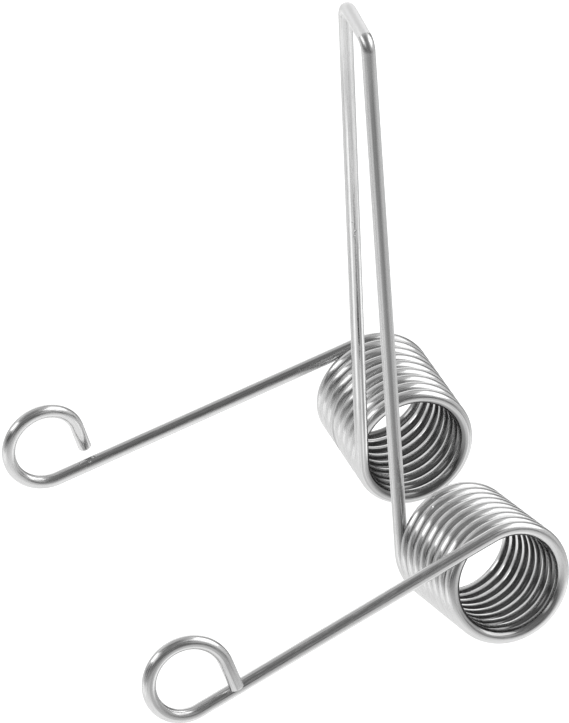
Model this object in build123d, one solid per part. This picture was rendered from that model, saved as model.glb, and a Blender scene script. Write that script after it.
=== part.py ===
from build123d import *
import os
from math import acos, atan2, cos, degrees, hypot, pi, radians, sin

# Horn valve spring in millimetres: one round wire, wound into two coils that a bridge joins, with an eye on each arm.
# +Z is up. The spring stands on its coils and eyes at Z = 0, and the origin is under the middle of its outline.
# The back coil's axis runs along +Y, the arms run towards -X and the legs stand up from the coils' inner ends.

# The wire and the rounding of its two cut ends
wire_diameter = 1.0
end_rounding = 0.12

# The coils, close wound on one size of pin
coil_bore = 7.27
turn_gap = 0.05
coil_passes = 9

# The bend at each end of the bridge, to the wire's centre line
bridge_bend_radius = 1.0

# The eyes, whose tips pass beside their arms. The turn is in degrees
eye_bore = 4.64
eye_turn = 270.0
tip_length = 2.15
tip_clearance = 0.05

# The front half as it was bent. The coil stands forward of the middle and shifted towards the arms, its axis
# rises outwards and swings towards the arms, and its leg leans off upright. Angles are in degrees
front_coil_place = 10.46
front_coil_shift = 2.72
front_axis_rise = 5.0
front_axis_swing = 3.95
front_leg_length = 37.56
front_leg_lean = 2.6
front_arm_length = 24.28

# The back half, whose coil gives the part its direction
back_coil_place = 4.5
back_axis_rise = 6.36
back_leg_length = 39.48
back_leg_lean = 6.9
back_arm_length = 24.15

# Worked out from those
wire_radius = wire_diameter / 2
coil_radius = (coil_bore + wire_diameter) / 2
coil_pitch = wire_diameter + turn_gap
coil_lead = atan2(coil_pitch, 2 * pi * coil_radius)
eye_radius = (eye_bore + wire_diameter) / 2
eye_angle = radians(eye_turn)
eye_pitch = 2 * pi * (wire_diameter + tip_clearance) / (eye_angle + tip_length / eye_radius)
eye_lead = atan2(eye_pitch, 2 * pi * eye_radius)


# How far along the axis the wire has come at an angle of the winding, when its leg stands at leg_angle
def travel(angle, leg_angle):
    return coil_pitch * (angle - leg_angle) / (2 * pi)


# Height of a coil's axis at its inner end, for which the coil's lowest pass just touches the surface
def axis_height(leg_angle, rise):
    first_bottom = travel(1.5 * pi, leg_angle) * sin(rise)
    last_bottom = travel(1.5 * pi + 2 * pi * (coil_passes - 1), leg_angle) * sin(rise)
    return coil_radius * cos(rise) + wire_radius - min(first_bottom, last_bottom)


# Slope of the arm that brings the underside of its eye down to the surface too
def arm_slope(leg_angle, rise, arm_length):
    root_travel = travel(pi / 2 + 2 * pi * coil_passes, leg_angle)
    reach = (root_travel + arm_length * sin(coil_lead)) * sin(rise)
    drop = (wire_radius - axis_height(leg_angle, rise) - reach) / cos(rise)
    across = coil_radius + eye_radius
    along = arm_length * cos(coil_lead)
    return acos((eye_radius + drop) / hypot(across, along)) - atan2(along, across)


# The eye and its tip, at the end of an arm. The eye is a short helix that leaves the arm smoothly and carries
# the tip sideways past it
def eye_and_tip(arm_end, arm_direction, upwards):
    sideways = upwards.cross(arm_direction)
    eye_axis = sideways * cos(eye_lead) + arm_direction * sin(eye_lead)
    eye_frame = Plane(origin=arm_end + upwards * eye_radius, x_dir=-upwards, z_dir=eye_axis)
    eye_height = eye_pitch * eye_angle / (2 * pi)
    eye = eye_frame.location * Helix(eye_pitch, eye_height, eye_radius, lefthand=True)
    tip_start = eye @ 1
    tip = Line(tip_start, tip_start + (eye % 1).normalized() * tip_length)
    return [eye, tip]


# One half of the wire as a front half: the leg from its top down, then the coil, arm, eye and tip.
# The coil's own frame at its inner end has X level, Y up and Z outwards along the axis
def half_wire(place, shift, rise, swing, leg_length, lean, arm_length):
    leg_angle = pi + lean
    slope = arm_slope(leg_angle, rise, arm_length)
    arm_angle = pi / 2 + slope + 2 * pi * coil_passes

    coil = Rot(0, 0, degrees(leg_angle)) * Helix(coil_pitch, travel(arm_angle, leg_angle), coil_radius)
    foot = coil @ 0
    leg = Line(foot - (coil % 0).normalized() * leg_length, foot)

    root = coil @ 1
    arm_direction = (coil % 1).normalized()
    arm_end = root + arm_direction * arm_length
    arm = Line(root, arm_end)
    eye, tip = eye_and_tip(arm_end, arm_direction, Vector(-sin(slope), cos(slope), 0))

    level = Vector(cos(swing), sin(swing), 0)
    outwards = Vector(sin(swing) * cos(rise), -cos(swing) * cos(rise), sin(rise))
    frame = Plane(origin=(-shift, -place, axis_height(leg_angle, rise)), x_dir=level, z_dir=outwards)
    return [frame.location * edge for edge in (leg, coil, arm, eye, tip)]


# The back half is bent to the other hand, so it is laid out as a front half and mirrored
def spring_wire():
    front_leg, *front_rest = half_wire(
        front_coil_place, front_coil_shift, radians(front_axis_rise), radians(front_axis_swing),
        front_leg_length, radians(front_leg_lean), front_arm_length
    )
    back_leg, *back_rest = [
        mirror(edge, about=Plane.XZ)
        for edge in half_wire(
            back_coil_place, 0, radians(back_axis_rise), 0,
            back_leg_length, radians(back_leg_lean), back_arm_length
        )
    ]

    # The legs and the bridge between their tops, with its two bends
    corners = (front_leg @ 1, front_leg @ 0, back_leg @ 0, back_leg @ 1)
    legs = FilletPolyline(*corners, radius=bridge_bend_radius)
    path = Wire([edge for run in (*front_rest, legs, *back_rest) for edge in run.edges()])

    section = Plane(origin=path @ 0, z_dir=path % 0) * Circle(wire_radius)
    wire = sweep(section, path=path)
    rims = [
        edge
        for edge in wire.edges().filter_by(GeomType.CIRCLE)
        if min((edge.arc_center - path @ end).length for end in (0, 1)) < wire_radius
    ]
    return fillet(rims, end_rounding)


os.makedirs("parts", exist_ok=True)
wire = spring_wire()
box = wire.bounding_box()
wire = Pos(-box.center().X, -box.center().Y, -box.min.Z) * wire
export_step(wire, "parts/spring_wire.step")
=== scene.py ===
import bpy
from math import acos, atan2, cos, hypot, pi, radians, sin, sqrt
from mathutils import Matrix, Vector


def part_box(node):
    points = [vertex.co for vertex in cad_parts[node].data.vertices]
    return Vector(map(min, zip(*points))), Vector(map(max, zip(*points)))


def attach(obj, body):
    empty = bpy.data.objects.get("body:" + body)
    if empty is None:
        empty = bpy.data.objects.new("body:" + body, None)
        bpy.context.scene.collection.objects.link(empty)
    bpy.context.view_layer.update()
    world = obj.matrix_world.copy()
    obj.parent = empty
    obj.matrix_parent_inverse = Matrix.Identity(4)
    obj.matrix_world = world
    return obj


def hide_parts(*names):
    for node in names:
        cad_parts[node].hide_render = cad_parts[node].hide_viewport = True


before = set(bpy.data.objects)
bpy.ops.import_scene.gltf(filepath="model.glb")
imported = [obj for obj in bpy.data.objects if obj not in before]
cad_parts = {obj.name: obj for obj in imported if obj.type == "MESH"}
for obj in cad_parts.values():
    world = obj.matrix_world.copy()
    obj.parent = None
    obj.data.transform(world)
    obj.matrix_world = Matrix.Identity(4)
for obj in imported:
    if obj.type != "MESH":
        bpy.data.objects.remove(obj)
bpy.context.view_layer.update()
bpy.ops.object.select_all(action="DESELECT")
print("frame loaded")

mm = 0.001

# the spring's wire in millimetres and degrees, bent as the part's source says
springWire = {
    "diameter": 1.0,
    "endRounding": 0.12,
    "coilBore": 7.27,
    "turnGap": 0.05,
    "coilPasses": 9,
    "bendRadius": 1.0,
    "eyeBore": 4.64,
    "eyeTurn": 270.0,
    "tipLength": 2.15,
    "tipClearance": 0.05,
    "front": {
        "place": 10.46, "shift": 2.72, "rise": 5.0, "swing": 3.95,
        "leg": 37.56, "lean": 2.6, "arm": 24.28,
    },
    "back": {
        "place": 4.5, "shift": 0.0, "rise": 6.36, "swing": 0.0,
        "leg": 39.48, "lean": 6.9, "arm": 24.15,
    },
    "pointsPerTurn": 96,
    "straightStep": 1.5,  # about how far apart the rings of a straight run are
    "rimSteps": 4,  # steps in the rounding of a cut end's rim
    "bevelResolution": 14,
    "coilSwell": 1.056,  # the wire's width along a coil's axis, in diameters, so that the turns touch
    "swellFade": 0.1,  # how far outside the coil the swell has faded out
    "coilShare": 0.5,  # a ring belongs to a coil where at least this share of the swell is left
    "brightTurns": 1.3,  # turns over which the painted shade inside a coil sets in from its outer end
    "mapStrips": 14,
    "stripFill": 0.94,  # how much of its strip's height the skin takes up in the map
    "capStrip": 0.5,  # the height of the cut ends' own strip, in heights of the others
    "capRadius": 0.2,  # and their radius there
    "mergeWithin": 0.001,
}

wireRadius = springWire["diameter"] / 2
coilRadius = (springWire["coilBore"] + springWire["diameter"]) / 2
coilPitch = springWire["diameter"] + springWire["turnGap"]
eyeRadius = (springWire["eyeBore"] + springWire["diameter"]) / 2
eyeAngle = radians(springWire["eyeTurn"])
passAngle = eyeAngle + springWire["tipLength"] / eyeRadius
eyePitch = 2 * pi * (springWire["diameter"] + springWire["tipClearance"]) / passAngle


# points of a helix about Z, clockwise for hand -1, and the direction in which it ends
def helix(radius, pitch, start, end, hand=1):
    steps = round((end - start) / (2 * pi) * springWire["pointsPerTurn"])
    points = []
    for i in range(steps + 1):
        angle = start + (end - start) * i / steps
        height = pitch * (angle - start) / (2 * pi)
        points.append(Vector((radius * cos(angle), hand * radius * sin(angle), height)))
    ending = Vector((-radius * sin(end), hand * radius * cos(end), pitch / (2 * pi))).normalized()
    return points, ending


# points along a straight run, without its first one
def straight(start, end):
    steps = max(1, round((end - start).length / springWire["straightStep"]))
    return [start.lerp(end, i / steps) for i in range(1, steps + 1)]


# one half as it is bent at the front: its leg's two ends, the coil's axis, then the points from foot to tip
def halfWire(place, shift, rise, swing, leg, lean, arm):
    rise, swing, legAngle = radians(rise), radians(swing), pi + radians(lean)
    lead = atan2(coilPitch, 2 * pi * coilRadius)

    def travel(angle):
        return coilPitch * (angle - legAngle) / (2 * pi)

    # the coil's axis as high as lets its lowest pass touch the floor
    lastPass = 1.5 * pi + 2 * pi * (springWire["coilPasses"] - 1)
    low = min(travel(1.5 * pi), travel(lastPass)) * sin(rise)
    axisHeight = coilRadius * cos(rise) + wireRadius - low

    # the arm's slope, which brings its eye down to the floor too
    rootTravel = travel(pi / 2 + 2 * pi * springWire["coilPasses"])
    reach = (rootTravel + arm * sin(lead)) * sin(rise)
    drop = (wireRadius - axisHeight - reach) / cos(rise)
    across, along = coilRadius + eyeRadius, arm * cos(lead)
    slope = acos((eyeRadius + drop) / hypot(across, along)) - atan2(along, across)
    armAngle = pi / 2 + slope + 2 * pi * springWire["coilPasses"]

    points, armDirection = helix(coilRadius, coilPitch, legAngle, armAngle)
    foot = points[0]
    footDirection = Vector((-coilRadius * sin(legAngle), coilRadius * cos(legAngle), coilPitch / (2 * pi)))
    legTop = foot - footDirection.normalized() * leg
    armEnd = points[-1] + armDirection * arm
    points += straight(points[-1], armEnd)

    # the eye, a short helix to the other hand, and the straight tip beside the arm
    upwards = Vector((-sin(slope), cos(slope), 0))
    eyeLead = atan2(eyePitch, 2 * pi * eyeRadius)
    eyeAxis = upwards.cross(armDirection) * cos(eyeLead) + armDirection * sin(eyeLead)
    eyeFrame = Matrix((-upwards, eyeAxis.cross(-upwards), eyeAxis)).transposed()
    eyePoints, tipDirection = helix(eyeRadius, eyePitch, 0, eyeAngle, hand=-1)
    points += [armEnd + upwards * eyeRadius + eyeFrame @ point for point in eyePoints[1:]]
    points += straight(points[-1], points[-1] + eyeFrame @ tipDirection * springWire["tipLength"])

    level = Vector((cos(swing), sin(swing), 0))
    outwards = Vector((sin(swing) * cos(rise), -cos(swing) * cos(rise), sin(rise)))
    turn = Matrix((level, outwards.cross(level), outwards)).transposed()
    origin = Vector((-shift, -place, axisHeight))
    axis = Vector((0, 0, 0)), Vector((0, 0, travel(armAngle)))
    return [origin + turn @ point for point in (legTop, foot, *axis, *points)]


# the rounded corner between two straight runs
def bend(before, corner, after, radius):
    into, out = (corner - before).normalized(), (after - corner).normalized()
    turn = into.angle(out)
    reach = radius * sin(turn / 2) / cos(turn / 2)
    middle = corner - into * reach + (out - into * into.dot(out)).normalized() * radius
    side = (corner - into * reach - middle) / radius
    steps = round(turn / (2 * pi) * springWire["pointsPerTurn"])
    return [
        middle + (side * cos(turn * i / steps) + into * sin(turn * i / steps)) * radius
        for i in range(steps + 1)
    ]


# the whole wire's points, and the ends of the two coils' axes
def wirePoints():
    frontTop, frontFoot, frontIn, frontOut, *front = halfWire(**springWire["front"])
    backHalf = [Vector((p.x, -p.y, p.z)) for p in halfWire(**springWire["back"])]
    backTop, backFoot, backIn, backOut, *back = backHalf
    frontBend = bend(frontFoot, frontTop, backTop, springWire["bendRadius"])
    backBend = bend(frontTop, backTop, backFoot, springWire["bendRadius"])
    points = front[::-1] + straight(frontFoot, frontBend[0]) + frontBend[1:]
    points += straight(frontBend[-1], backBend[0]) + backBend[1:] + straight(backBend[-1], backFoot)
    return points + back[1:], ((frontIn, frontOut), (backIn, backOut))


# how far along the wire each point lies
def distances(points):
    run = [0.0]
    for a, b in zip(points, points[1:]):
        run.append(run[-1] + (b - a).length)
    return run


# a few more points near each cut end, so that its rim can be rounded
def withEnds(points):
    steps, rounding = springWire["rimSteps"], springWire["endRounding"]
    insets = [rounding * (1 - cos(pi / 2 * i / steps)) for i in range(steps + 1)]
    first, forwards = points[0], (points[1] - points[0]).normalized()
    last, backwards = points[-1], (points[-2] - points[-1]).normalized()
    start = [first + forwards * inset for inset in insets]
    return start + points[1:-1] + [last + backwards * inset for inset in insets[::-1]]


# the way in which each ring widens: along the axis and 1 long in a coil, and 0 long on a straight run
def widening(points, coils):
    ways = []
    for point in points:
        way = Vector((0, 0, 0))
        for low, high in coils:
            axis = (high - low).normalized()
            along = (point - low).dot(axis)
            out = (point - low - axis * along).length - coilRadius
            if -wireRadius < along < (high - low).length + wireRadius and out > -wireRadius:
                way = axis * max(0, 1 - max(out, 0) / springWire["swellFade"])
        ways.append(way)
    return ways


# how far a point of the wire's skin faces into its coil: 0 outside and on the straight runs, 1 straight
# inwards. It fades towards the coil's outer end, so that the painted shade and highlight inside the coils
# fade out there
def innerSide(off, point, way, coils):
    if way.length < springWire["coilShare"]:
        return 0.0
    low, high = min(coils, key=lambda coil: (point - coil[0]).length)
    axis = (high - low).normalized()
    along = (point - low).dot(axis)
    outwards = (point - low - axis * along).normalized()
    depth = ((high - low).length - along) / (coilPitch * springWire["brightTurns"])
    return max(0.0, -off.dot(outwards) / wireRadius) * min(1.0, max(0.0, depth))


# the wire as a round curve made a mesh, narrower towards its cut ends by the rounding of their rims
def roundWire(points, run):
    curve = bpy.data.curves.new("springWire", "CURVE")
    curve.dimensions = "3D"
    curve.bevel_depth = wireRadius * mm
    curve.bevel_resolution = springWire["bevelResolution"]
    curve.use_fill_caps = True
    curve.twist_mode = "MINIMUM"
    spline = curve.splines.new("POLY")
    spline.points.add(len(points) - 1)
    rounding = springWire["endRounding"]
    for point, place, at in zip(spline.points, points, run):
        point.co = (*(place * mm), 1)
        inset = rounding - min(at, run[-1] - at, rounding)
        point.radius = 1 - (rounding - sqrt(rounding**2 - inset**2)) / wireRadius
    wire = bpy.data.objects.new("springWire", curve)
    bpy.context.collection.objects.link(wire)
    bpy.context.view_layer.objects.active = wire
    wire.select_set(True)
    bpy.ops.object.convert(target="MESH")
    return bpy.context.object


# which ring of the wire a vertex of the converted curve is on, whose two end caps come first
def ringOf(index, sides, rings):
    ring = (index // sides - 2) % (rings + 1)
    return 0 if ring == rings else ring


# a spot on the wire's skin in coordinates that follow the wire: across it in x and y, along it in z
def skinSpot(angle, along):
    return wireRadius * cos(angle), wireRadius * sin(angle), along


# swells the coils' turns, and notes each vertex's place on the wire and how far it faces into its coil
def dressSkin(mesh, sides, points, run, coils):
    ways = widening(points, coils)
    spots = []
    inner = []
    for vertex in mesh.vertices:
        ring = ringOf(vertex.index, sides, len(points))
        off = vertex.co - points[ring] * mm
        spots += skinSpot(2 * pi * (vertex.index % sides) / sides, run[ring])
        inner.append(innerSide(off / mm, points[ring], ways[ring], coils))
        vertex.co += ways[ring] * off.dot(ways[ring]) * (springWire["coilSwell"] - 1)
    mesh.attributes.new("wireCoord", "FLOAT_VECTOR", "POINT").data.foreach_set("vector", spots)
    mesh.attributes.new("coilInside", "FLOAT", "POINT").data.foreach_set("value", inner)


# a map to bake on: the skin cut into equal lengths and unrolled, one strip above the other, with the two cut
# ends side by side in a low strip at the top
def unrollMap(mesh, sides, run):
    strips, capStrip, capRadius = springWire["mapStrips"], springWire["capStrip"], springWire["capRadius"]
    length = run[-1] / strips
    high = 1 / (strips + capStrip)
    layer = mesh.uv_layers[0]
    layer.name = "OFBake"
    for face in mesh.polygons:
        indices = [mesh.loops[loop].vertex_index for loop in face.loop_indices]
        rings = [ringOf(index, sides, len(run)) for index in indices]
        around = [index % sides for index in indices]
        isCap = len(indices) == sides
        if max(around) - min(around) > sides / 2 and not isCap:
            around = [turn + sides if turn < sides / 2 else turn for turn in around]
        strip = min(strips - 1, int(run[min(rings)] / length))
        for loop, ring, turn in zip(face.loop_indices, rings, around):
            if isCap:
                angle = 2 * pi * turn / sides
                u = high * (capStrip + (ring > 0) + capRadius * cos(angle))
                v = 1 - high * (capStrip / 2 - capRadius * sin(angle))
            else:
                u = (run[ring] - strip * length) / (length + springWire["straightStep"])
                v = (strip + springWire["stripFill"] * turn / sides) * high
            layer.uv[loop].vector = (u, v)


# moves the wire to its place in the frame, by the middle of its outline and its lowest point
def placeWire(mesh):
    low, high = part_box("spring_wire")
    lowest = Vector([min(vertex.co[k] for vertex in mesh.vertices) for k in range(3)])
    highest = Vector([max(vertex.co[k] for vertex in mesh.vertices) for k in range(3)])
    move = Vector((
        (low[0] + high[0] - lowest.x - highest.x) / 2,
        (low[1] + high[1] - lowest.y - highest.y) / 2,
        low[2] - lowest.z,
    ))
    for vertex in mesh.vertices:
        vertex.co += move


def buildWire():
    points, coils = wirePoints()
    points = withEnds(points)
    run = distances(points)
    wire = roundWire(points, run)
    sides = 4 + 2 * springWire["bevelResolution"]  # as the round bevel makes them
    dressSkin(wire.data, sides, points, run, coils)
    unrollMap(wire.data, sides, run)
    placeWire(wire.data)
    bpy.ops.object.mode_set(mode="EDIT")
    bpy.ops.mesh.select_all(action="SELECT")
    bpy.ops.mesh.remove_doubles(threshold=springWire["mergeWithin"] * mm)
    bpy.ops.mesh.normals_make_consistent(inside=False)
    bpy.ops.object.mode_set(mode="OBJECT")
    bpy.ops.object.shade_smooth()
    print("wire wound,", round(run[-1], 1), "mm long")
    return wire, run[-1]


def addNode(tree, kind, links=(), **values):
    node = tree.nodes.new(kind)
    for name, value in values.items():
        if hasattr(node, name):
            setattr(node, name, value)
        else:
            node.inputs[name.replace("_", " ")].default_value = value
    for socket, source in dict(links).items():
        tree.links.new(source, node.inputs[socket])
    return node


# links or sets a node's first sockets, each by a source or a number, and skips those with None
def fillSockets(tree, node, values):
    for socket, value in zip(node.inputs, values):
        if isinstance(value, (int, float)):
            socket.default_value = value
        elif value is not None:
            tree.links.new(value, socket)
    return node.outputs[0]


def calculate(tree, operation, first, second):
    return fillSockets(tree, addNode(tree, "ShaderNodeMath", operation=operation), (first, second))


def blend(tree, share, first, second):
    return fillSockets(tree, addNode(tree, "ShaderNodeMix"), (share, None, first, second))


# one value below low and another above high, with a soft step between
def step(tree, source, low, high, bottom=0.0, top=1.0):
    node = addNode(tree, "ShaderNodeMapRange", interpolation_type="SMOOTHSTEP")
    return fillSockets(tree, node, (source, low, high, bottom, top))


# 1 along one stretch of the wire and 0 elsewhere, fading in and out inside it
def stretch(tree, along, start, end, fadeIn, fadeOut):
    fading = step(tree, along, start, start + fadeIn), step(tree, along, end - fadeOut, end, 1, 0)
    return calculate(tree, "MULTIPLY", *fading)


# a noise drawn out along the wire
def drawnNoise(tree, coord, across, along, detail):
    mapping = addNode(tree, "ShaderNodeMapping", {"Vector": coord})
    mapping.inputs["Scale"].default_value = (across, across, along)
    links = {"Vector": mapping.outputs["Vector"]}
    return addNode(tree, "ShaderNodeTexNoise", links, Scale=1.0, Detail=detail).outputs["Fac"]


# how far off a spot of the skin is
def farFrom(tree, coord, spot):
    far = addNode(tree, "ShaderNodeVectorMath", {0: coord}, operation="DISTANCE")
    far.inputs[1].default_value = spot
    return far.outputs["Value"]


# bright drawn steel: sizes, depths and places along the wire in millimetres, angles round it in degrees
springSteel = {
    "colour": 0.66,
    "paintedInsideShade": 0.24,  # the coils' insides, darkened as painted shade
    "insideFull": 0.5,  # how far inwards the skin faces where it is fully that dark
    "paintedLineHighlight": 0.78,  # the innermost line of each turn, lightened as a painted highlight
    "highlightLineFrom": 0.84,
    "highlightLineTo": 0.98,
    "lines": {"across": 3.5, "along": 0.02, "detail": 4},  # the die's dark lines
    "linesFrom": 0.56,
    "linesTo": 0.66,
    "lineColour": 0.72,  # how much of the colour is left in them
    "haze": {"across": 26.0, "along": 0.8, "detail": 2},  # fine streaks between the polished ones
    "hazeFrom": 0.54,
    "hazeTo": 0.62,
    "insideHaze": 0.2,  # how much of it there is inside the coils
    "polished": 0.15,
    "hazed": 0.4,
    "marks": {"across": 4.0, "along": 0.03, "detail": 3},  # the die's lengthwise marks
    "marksDepth": 0.003,
    "bridgeSatinAndSheen": {"start": 306.5, "end": 311.2, "fadeIn": 0.1, "fadeOut": 1.2},  # the bridge, rubbed to a satin, with its colour paler there as a painted sheen
    "rubbedRough": 0.6,
    "paintedBridgeSheen": 0.97,
    "bent": {"start": 304.3, "end": 312.8, "fadeIn": 0.8, "fadeOut": 0.8},  # the bends' stretched skin
    "bentRough": 0.26,
    "dull": {"start": 313.0, "end": 349.0, "fadeIn": 4.0, "fadeOut": 4.0},  # the back leg, a little duller
    "dullColour": 0.86,
    "cutDepth": 0.12,
    "cutRough": 0.45,
    "cutColour": 0.5,
    "scoreAndBandFade": 5.0,
    "scoresAndPaintedBands": [  # scratches, and bands of painted highlight and painted shade, along the legs, with what they add to the colour
        {"angle": -30, "start": 317, "end": 348, "width": 0.1, "depth": 0.003, "tone": 0.6},
        {"angle": -80, "start": 327, "end": 350, "width": 0.09, "depth": 0.006, "tone": -0.45},
        {"angle": -64, "start": 320, "end": 352, "width": 0.1, "depth": 0, "tone": 0.5},
        {"angle": -102, "start": 327, "end": 352, "width": 0.1, "depth": 0, "tone": 0.35},
        {"angle": -8, "start": 312, "end": 350, "width": 0.09, "depth": 0.003, "tone": -0.25},
        {"angle": 88, "start": 292, "end": 304, "width": 0.08, "depth": 0.003, "tone": -0.2},
        {"angle": 104, "start": 266, "end": 306, "width": 0.26, "depth": 0, "tone": -0.28},
        {"angle": 72, "start": 272, "end": 304, "width": 0.14, "depth": 0, "tone": 0.2},
        {"angle": 46, "start": 266, "end": 306, "width": 0.14, "depth": 0, "tone": -0.25},
    ],
    "nicks": [
        {"along": 247.2, "angle": 47, "radius": 0.14, "depth": 0.03},
        {"along": 220.6, "angle": 24, "radius": 0.16, "depth": 0.04},
        {"along": 599.5, "angle": -113, "radius": 0.14, "depth": 0.03},
        {"along": 599.9, "angle": -146, "radius": 0.12, "depth": 0.03},
        {"along": 600.6, "angle": -120, "radius": 0.1, "depth": 0.02},
        {"along": 582.9, "angle": -158, "radius": 0.12, "depth": 0.02},
        {"along": 329.1, "angle": -67, "radius": 0.12, "depth": 0.03},
        {"along": 329.5, "angle": -56, "radius": 0.1, "depth": 0.02},
        {"along": 328.3, "angle": -45, "radius": 0.12, "depth": 0.02},
    ],
}


# the legs' scores and their bands of painted highlight and painted shade as masks, each with its own values
def scoreAndBandMasks(tree, coord, along):
    across = addNode(tree, "ShaderNodeVectorMath", {0: coord}, operation="MULTIPLY")
    across.inputs[1].default_value = (1, 1, 0)
    fade = springSteel["scoreAndBandFade"]
    for scoreOrBand in springSteel["scoresAndPaintedBands"]:
        far = farFrom(tree, across.outputs[0], skinSpot(radians(scoreOrBand["angle"]), 0))
        mask = step(tree, far, 0, scoreOrBand["width"], 1, 0)
        part = stretch(tree, along, scoreOrBand["start"], scoreOrBand["end"], fade, fade)
        yield calculate(tree, "MULTIPLY", mask, part), scoreOrBand


def steelMaterial(length):
    material = bpy.data.materials.new("springSteel")
    material.use_nodes = True
    tree = material.node_tree
    shader = tree.nodes["Principled BSDF"]
    shader.inputs["Metallic"].default_value = 1
    steel = springSteel
    coord = addNode(tree, "ShaderNodeAttribute", attribute_name="wireCoord").outputs["Vector"]
    inwards = addNode(tree, "ShaderNodeAttribute", attribute_name="coilInside").outputs["Fac"]
    along = addNode(tree, "ShaderNodeSeparateXYZ", {0: coord}).outputs["Z"]

    # where the skin is inside a coil, where the bridge has its satin and painted sheen, and where the wire
    # was cut
    inside = step(tree, inwards, 0, steel["insideFull"])
    bridgeSatinAndSheen = stretch(tree, along, **steel["bridgeSatinAndSheen"])
    firstCut = step(tree, along, 0, steel["cutDepth"], 1, 0)
    cut = calculate(tree, "ADD", firstCut, step(tree, along, length - steel["cutDepth"], length))

    # the die's lengthwise marks, the scores and the nicks, and the legs' tone, whose bands are partly
    # scratches and partly painted highlights and painted shade
    marks = drawnNoise(tree, coord, **steel["marks"])
    height = calculate(tree, "MULTIPLY", marks, blend(tree, inside, steel["marksDepth"], 0))
    tone = blend(tree, stretch(tree, along, **steel["dull"]), 1, steel["dullColour"])
    for mask, scoreOrBand in scoreAndBandMasks(tree, coord, along):
        height = calculate(tree, "SUBTRACT", height, calculate(tree, "MULTIPLY", mask, scoreOrBand["depth"]))
        tone = calculate(tree, "ADD", tone, calculate(tree, "MULTIPLY", mask, scoreOrBand["tone"]))
    for nick in steel["nicks"]:
        far = farFrom(tree, coord, skinSpot(radians(nick["angle"]), nick["along"]))
        height = calculate(tree, "ADD", height, step(tree, far, 0, nick["radius"], -nick["depth"], 0))
    bump = addNode(tree, "ShaderNodeBump", {"Height": height}, Strength=1.0, Distance=mm)
    tree.links.new(bump.outputs["Normal"], shader.inputs["Normal"])

    # polished, with the haze, the bends, the rubbed bridge and the cut ends rougher
    haze = step(tree, drawnNoise(tree, coord, **steel["haze"]), steel["hazeFrom"], steel["hazeTo"])
    haze = calculate(tree, "MULTIPLY", haze, blend(tree, inside, 1, steel["insideHaze"]))
    rough = blend(tree, haze, steel["polished"], steel["hazed"])
    rough = blend(tree, stretch(tree, along, **steel["bent"]), rough, steel["bentRough"])
    rough = blend(tree, bridgeSatinAndSheen, rough, steel["rubbedRough"])
    rough = blend(tree, cut, rough, steel["cutRough"])
    tree.links.new(rough, shader.inputs["Roughness"])

    # grey, darker in the die's lines and on the cut ends, with painted shade inside the coils, a painted
    # highlight on each turn's innermost line, painted bands on the legs and a painted sheen on the bridge
    lines = step(tree, drawnNoise(tree, coord, **steel["lines"]), steel["linesFrom"], steel["linesTo"])
    highlightLine = step(tree, inwards, steel["highlightLineFrom"], steel["highlightLineTo"])
    grey = blend(tree, inside, steel["colour"], steel["paintedInsideShade"])
    grey = blend(tree, highlightLine, grey, steel["paintedLineHighlight"])
    grey = calculate(tree, "MULTIPLY", grey, blend(tree, lines, 1, steel["lineColour"]))
    grey = calculate(tree, "MULTIPLY", grey, tone)
    grey = blend(tree, bridgeSatinAndSheen, grey, steel["paintedBridgeSheen"])
    grey = blend(tree, cut, grey, steel["cutColour"])
    tree.links.new(grey, shader.inputs["Base Color"])
    return material


wire, wireLength = buildWire()
wire.data.materials.clear()
wire.data.materials.append(steelMaterial(wireLength))
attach(wire, "root")
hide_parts("spring_wire")
print("steel set")

# the table, the lights and the room, in metres and degrees. A turn goes from -Y towards +X
studio = {
    "floorSize": 4.0,
    "floorColour": 0.3,
    "floorGlow": 1.03,  # the pale floor's own light, which only the camera and the metal see
    "floorGloss": 0.12,
    "floorShine": 0.1,  # how much the floor mirrors the room where the metal looks straight down on it
    "sheenFrom": -0.2,  # the sines of the angles of view between which that falls from 1 to floorShine
    "sheenTo": 0.9,
    "roomDark": 0.1,
    "glows": [  # full within and gone beyond these angles
        {"turn": 165, "up": 8, "full": 14, "gone": 36, "light": 1.15},
        {"turn": -143, "up": 17, "full": 6, "gone": 34, "light": 0.65},
        {"turn": 85, "up": 12, "full": 12, "gone": 42, "light": 0.62},
        {"turn": 38, "up": 24, "full": 5, "gone": 28, "light": 0.45},
        {"turn": 90, "up": 58, "full": 6, "gone": 40, "light": 0.4},
        {"turn": 120, "up": 47, "full": 5, "gone": 26, "light": 0.45},
        {"turn": -165, "up": 52, "full": 5, "gone": 34, "light": 0.45},
        {"turn": -104, "up": 30, "full": 10, "gone": 38, "light": 0.22},
        {"turn": -15, "up": 30, "full": 5, "gone": 50, "light": 0.1},
        {"turn": -63, "up": 29, "full": 3, "gone": 17, "light": 0.75},
        {"turn": 0, "up": 90, "full": 10, "gone": 60, "light": 0.14},
    ],
    "boxAim": 0.01,  # how high above the floor the softboxes point
    "bigBox": {"turn": 71, "up": 46, "roll": 0, "far": 0.7, "wide": 0.66, "high": 0.55, "light": 1.25},
    "smallBox": {"turn": -101, "up": 31, "roll": 12, "far": 0.7, "wide": 0.54, "high": 0.26, "light": 1.55},
}


# which way something lies from the spring
def direction(turn, up):
    turn, up = radians(turn), radians(up)
    return Vector((sin(turn) * cos(up), -cos(turn) * cos(up), sin(up)))


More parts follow.
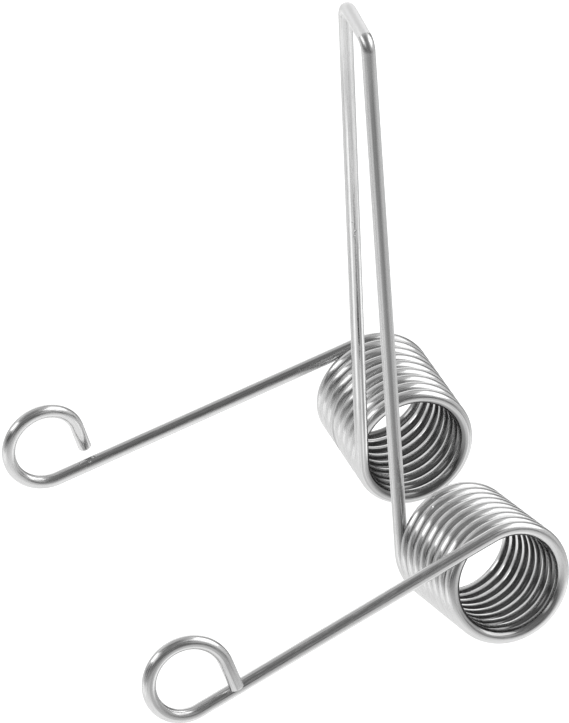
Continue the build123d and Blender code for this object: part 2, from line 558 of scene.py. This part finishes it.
def addFloor():
    bpy.ops.mesh.primitive_plane_add(size=studio["floorSize"])
    floor = bpy.context.object
    floor.name = "table"
    material = bpy.data.materials.new("paleTable")
    material.use_nodes = True
    tree = material.node_tree
    shader = tree.nodes["Principled BSDF"]
    grey = studio["floorColour"]
    shader.inputs["Base Color"].default_value = (grey, grey, grey, 1)
    shader.inputs["Roughness"].default_value = 1
    shader.inputs["Specular IOR Level"].default_value = 0
    shader.inputs["Emission Color"].default_value = (1, 1, 1, 1)

    # it glows to the camera and in the metal, and lights nothing else
    path = addNode(tree, "ShaderNodeLightPath").outputs
    rays = {0: path["Is Glossy Ray"], 1: path["Is Transmission Ray"]}
    inMetal = addNode(tree, "ShaderNodeMath", rays, operation="ADD", use_clamp=True).outputs[0]
    seen = calculate(tree, "ADD", path["Is Camera Ray"], inMetal)
    glow = calculate(tree, "MULTIPLY", seen, studio["floorGlow"])
    tree.links.new(glow, shader.inputs["Emission Strength"])

    # it mirrors the room, but not to the camera. Facing at this blend is 1 minus the angle of view's sine
    facing = addNode(tree, "ShaderNodeLayerWeight", Blend=0.5).outputs["Facing"]
    sheen = step(tree, facing, 1 - studio["sheenTo"], 1 - studio["sheenFrom"], studio["floorShine"], 1)
    gloss = addNode(tree, "ShaderNodeBsdfGlossy", Roughness=studio["floorGloss"])
    share = calculate(tree, "MULTIPLY", sheen, calculate(tree, "SUBTRACT", 1, path["Is Camera Ray"]))
    shaders = {0: share, 1: shader.outputs[0], 2: gloss.outputs[0]}
    mixed = addNode(tree, "ShaderNodeMixShader", shaders)
    tree.links.new(mixed.outputs[0], tree.nodes["Material Output"].inputs["Surface"])
    floor.data.materials.append(material)


# a softbox that faces the spring, as bright as its light says seen from there
def addSoftbox(name, turn, up, roll, far, wide, high, light):
    bpy.ops.object.light_add(type="AREA")
    lamp = bpy.context.object
    lamp.name = name
    towards = direction(turn, up)
    lamp.location = towards * far + Vector((0, 0, studio["boxAim"]))
    tilt = towards.to_track_quat("Z", "Y").to_matrix()
    lamp.rotation_euler = (tilt @ Matrix.Rotation(radians(roll), 3, "Z")).to_euler()
    lamp.data.shape = "RECTANGLE"
    lamp.data.size, lamp.data.size_y = wide, high
    lamp.data.energy = light * pi * wide * high


# a dark room with soft glows, which is white to the camera alone
def addRoom():
    world = bpy.data.worlds.new("room")
    bpy.context.scene.world = world
    world.use_nodes = True
    tree = world.node_tree
    towards = addNode(tree, "ShaderNodeTexCoord").outputs["Generated"]
    total = studio["roomDark"]
    for glow in studio["glows"]:
        facing = addNode(tree, "ShaderNodeVectorMath", {0: towards}, operation="DOT_PRODUCT")
        facing.inputs[1].default_value = direction(glow["turn"], glow["up"])
        gone, full = cos(radians(glow["gone"])), cos(radians(glow["full"]))
        soft = step(tree, facing.outputs["Value"], gone, full, 0, glow["light"])
        total = calculate(tree, "ADD", soft, total)
    seen = addNode(tree, "ShaderNodeLightPath").outputs["Is Camera Ray"]
    tree.links.new(blend(tree, seen, total, 1), tree.nodes["Background"].inputs["Color"])


# the photo's camera, in millimetres and degrees, with the focal length in pixels of the picture
camera = {
    "turn": -20.441,
    "up": 24.464,
    "roll": 1.5674,
    "far": 456.765,
    "aside": -0.12274,
    "above": 15.41408,
    "focal": 6358.56,
    "pictureHeight": 723,
    "sensor": 36,
}


def addCamera():
    turn, roll = radians(camera["turn"]), radians(camera["roll"])
    back = direction(camera["turn"], camera["up"])
    level = Vector((cos(turn), sin(turn), 0))
    top = back.cross(level)
    right = level * cos(roll) + top * sin(roll)
    top = top * cos(roll) - level * sin(roll)
    lens = bpy.data.cameras.new("photoCamera")
    eye = bpy.data.objects.new("photoCamera", lens)
    bpy.context.collection.objects.link(eye)
    place = (right * camera["aside"] + top * camera["above"] + back * camera["far"]) * mm
    eye.matrix_world = Matrix.Translation(place) @ Matrix((right, top, back)).transposed().to_4x4()
    lens.sensor_width = camera["sensor"]
    lens.lens = camera["focal"] * camera["sensor"] / camera["pictureHeight"]
    bpy.context.scene.camera = eye


addFloor()
addSoftbox("bigBox", **studio["bigBox"])
addSoftbox("smallBox", **studio["smallBox"])
addRoom()
addCamera()
bpy.context.scene.view_settings.view_transform = "Standard"
print("studio and camera set")
